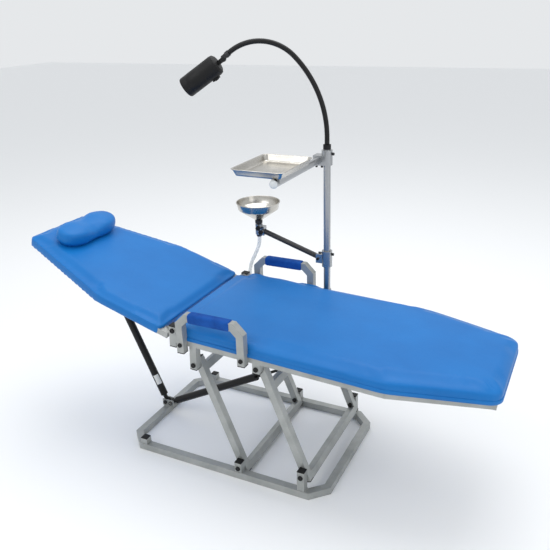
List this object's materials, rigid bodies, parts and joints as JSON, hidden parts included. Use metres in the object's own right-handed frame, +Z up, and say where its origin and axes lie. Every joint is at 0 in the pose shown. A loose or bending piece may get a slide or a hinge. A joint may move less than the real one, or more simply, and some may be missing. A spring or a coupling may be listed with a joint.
{
  "type": "portable folding dental chair",
  "caption": "Portable dental chair: padded seat and reclining back on a parallel-linkage base with gas springs, armrests, pole, tray, spittoon bowl and gooseneck lamp.",
  "frame": {"origin": "on the floor, at the middle of the underside of the head-end tube of the base ring", "axes": "+X from the head end to the foot end, +Y from the near side to the side with the pole, +Z up"},
  "size_m": [1.7101, 0.6673, 1.3822],
  "materials": {
    "silver_paint": "satin silver powder coat",
    "black_plastic": "moulded, matte",
    "black_bolts": "blackened steel",
    "spring_paint": "satin black enamel",
    "chrome_rod": "polished",
    "blue_vinyl": "smooth coated vinyl",
    "blue_foam": "foam sleeve",
    "plywood": "bare",
    "pole_metal": "satin",
    "grey_plastic": "satin",
    "stainless": "polished stainless",
    "dark_tube": "semi-gloss black",
    "clear_hose": "clear flexible vinyl",
    "gooseneck_sheath": "ribbed sheath",
    "lamp_black": "satin",
    "lens": "clear"
  },
  "bodies": {
    "base": {"base_frame": "silver_paint", "base_post_caps": "black_plastic", "spring_bracket": "silver_paint", "base_pivot_bolts": "black_bolts"},
    "leg_head": {"leg_head_frame": "silver_paint", "leg_head_plugs": "black_plastic"},
    "leg_foot": {"leg_foot_frame": "silver_paint", "leg_foot_plugs": "black_plastic", "spring_clevis_bolts": "black_bolts"},
    "seat": {"seat_frame": "silver_paint", "seat_caps": "black_plastic", "seat_board": "plywood", "seat_pad": "blue_vinyl", "seat_pivot_bolts": "black_bolts", "back_hinge_bolts": "black_bolts", "armrest_near": "silver_paint", "armrest_far": "silver_paint", "armrest_caps": "black_plastic", "grip_near": "blue_foam", "grip_far": "blue_foam", "armrest_bolts": "black_bolts", "pole_socket": "silver_paint"},
    "backrest": {"backrest_frame": "silver_paint", "backrest_board": "plywood", "backrest_pad": "blue_vinyl", "headrest_strips": "black_plastic"},
    "headrest": {"headrest_pillow": "blue_vinyl"},
    "back_spring_foot": {"back_spring_lower_pin": "black_bolts"},
    "back_spring_tube": {"back_spring_cylinder": "spring_paint"},
    "back_spring_head": {"back_spring_upper_pin": "black_bolts"},
    "back_spring_piston": {"back_spring_rod": "chrome_rod"},
    "lift_spring_tube": {"lift_spring_cylinder": "spring_paint"},
    "lift_spring_piston": {"lift_spring_rod": "spring_paint"},
    "pole_knob": {"socket_knob": "black_plastic"},
    "pole_column": {"pole": "pole_metal"},
    "tray_set": {"upper_clamp": "pole_metal", "upper_clamp_screws": "black_bolts", "tray_arm": "pole_metal", "tray_arm_cap": "grey_plastic", "tray_support": "pole_metal", "tray_screws": "black_bolts", "tray": "stainless"},
    "cuspidor": {"lower_clamp": "pole_metal", "lower_clamp_screws": "black_bolts", "cuspidor_arm": "dark_tube", "cuspidor_bracket": "pole_metal", "bowl": "stainless", "outlet_tube": "dark_tube", "drain_hose": "clear_hose"},
    "upper_knob": {"bracket_knob_upper": "black_plastic"},
    "lower_knob": {"bracket_knob_lower": "black_plastic"},
    "lamp_arm": {"gooseneck_socket": "black_plastic", "gooseneck": "gooseneck_sheath", "lamp_yoke": "dark_tube", "lamp_tilt_screw": "black_bolts"},
    "lamp": {"lamp_housing": "lamp_black", "lamp_lens": "lens"},
    "switch": {"lamp_switch": "black_plastic"}
  },
  "joints": [
    {"name": "lift", "type": "hinge", "parent": "base", "child": "leg_head", "pos_m": [0.454, 0, 0.041], "axis": [0, 1, 0], "range_deg": [-34, 0]},
    {"name": "leg_foot_swing", "type": "hinge", "parent": "base", "child": "leg_foot", "pos_m": [0.6845, 0, 0.0785], "axis": [0, 1, 0], "range_deg": [-35, 1]},
    {"name": "seat_level", "type": "hinge", "parent": "leg_head", "child": "seat", "pos_m": [0.30906, 0, 0.40522], "axis": [0, 1, 0], "range_deg": [-1, 35]},
    {"name": "recline", "type": "hinge", "parent": "seat", "child": "backrest", "pos_m": [0.238, 0, 0.517], "axis": [0, 1, 0], "range_deg": [-4, 33]},
    {"name": "headrest_slide", "type": "slide", "parent": "backrest", "child": "headrest", "axis": [-0.9568, 0, 0.2907], "range_m": [-0.03, 0.03]},
    {"name": "back_spring_foot_turn", "type": "hinge", "parent": "base", "child": "back_spring_foot", "pos_m": [-0.008, 0, 0.04], "axis": [0, 1, 0], "range_deg": [-3, 17]},
    {"name": "back_spring_tube_turn", "type": "hinge", "parent": "back_spring_foot", "child": "back_spring_tube", "pos_m": [-0.008, 0, 0.04], "axis": [0, 1, 0], "range_deg": [-24, 1]},
    {"name": "back_spring_head_turn", "type": "hinge", "parent": "backrest", "child": "back_spring_head", "pos_m": [-0.246, 0, 0.58995], "axis": [0, 1, 0], "range_deg": [-19, 4]},
    {"name": "back_spring_rod_turn", "type": "hinge", "parent": "back_spring_head", "child": "back_spring_piston", "pos_m": [-0.246, 0, 0.58995], "axis": [0, 1, 0], "range_deg": [-24, 1]},
    {"name": "lift_spring_turn", "type": "hinge", "parent": "base", "child": "lift_spring_tube", "pos_m": [0.016, 0, 0.04], "axis": [0, 1, 0], "range_deg": [-1, 6]},
    {"name": "lift_spring_stroke", "type": "slide", "parent": "lift_spring_tube", "child": "lift_spring_piston", "axis": [0.8821, 0, 0.4711], "range_m": [-0.165, 0.005]},
    {"name": "pole_knob_turn", "type": "hinge", "parent": "seat", "child": "pole_knob", "pos_m": [0.557, 0.285, 0.425], "axis": [0, 1, 0], "continuous": true},
    {"name": "pole_height", "type": "slide", "parent": "seat", "child": "pole_column", "axis": [0, 0, 1], "range_m": [-0.01, 0.08]},
    {"name": "tray_swing", "type": "hinge", "parent": "pole_column", "child": "tray_set", "pos_m": [0.557, 0.285, 0.99], "axis": [0, 0, 1], "range_deg": [-40, 40]},
    {"name": "cuspidor_swing", "type": "hinge", "parent": "pole_column", "child": "cuspidor", "pos_m": [0.557, 0.285, 0.62], "axis": [0, 0, -1], "range_deg": [0, 60]},
    {"name": "upper_knob_turn", "type": "hinge", "parent": "cuspidor", "child": "upper_knob", "pos_m": [0.282, 0.288, 0.706], "axis": [0, 1, 0], "continuous": true},
    {"name": "lower_knob_turn", "type": "hinge", "parent": "cuspidor", "child": "lower_knob", "pos_m": [0.292, 0.29, 0.69], "axis": [0, 1, 0], "continuous": true},
    {"name": "lamp_swing", "type": "hinge", "parent": "pole_column", "child": "lamp_arm", "pos_m": [0.557, 0.285, 1.03], "axis": [0, 0, 1], "range_deg": [-30, 30]},
    {"name": "lamp_tilt", "type": "hinge", "parent": "lamp_arm", "child": "lamp", "pos_m": [0.22959, 0.17862, 1.31919], "axis": [0.309, -0.9511, 0], "range_deg": [-25, 35]},
    {"name": "switch_press", "type": "slide", "parent": "lamp", "child": "switch", "axis": [-0.5318, -0.1728, 0.829], "range_m": [0, 0.0012], "stiffness_N_per_m": 400}
  ],
  "couplings": [
    {"joint": "leg_foot_swing", "follows": "lift", "ratio": 1},
    {"joint": "seat_level", "follows": "lift", "ratio": -1},
    {"joint": "back_spring_foot_turn", "follows": "recline", "ratio": 0.4606},
    {"joint": "back_spring_tube_turn", "follows": "lift", "ratio": 0.6694},
    {"joint": "back_spring_head_turn", "follows": "recline", "ratio": -0.5394},
    {"joint": "back_spring_rod_turn", "follows": "lift", "ratio": 0.6694},
    {"joint": "lift_spring_turn", "follows": "lift", "ratio": -0.12196},
    {"joint": "lift_spring_stroke", "follows": "lift", "m_per_rad": 0.26985}
  ]
}
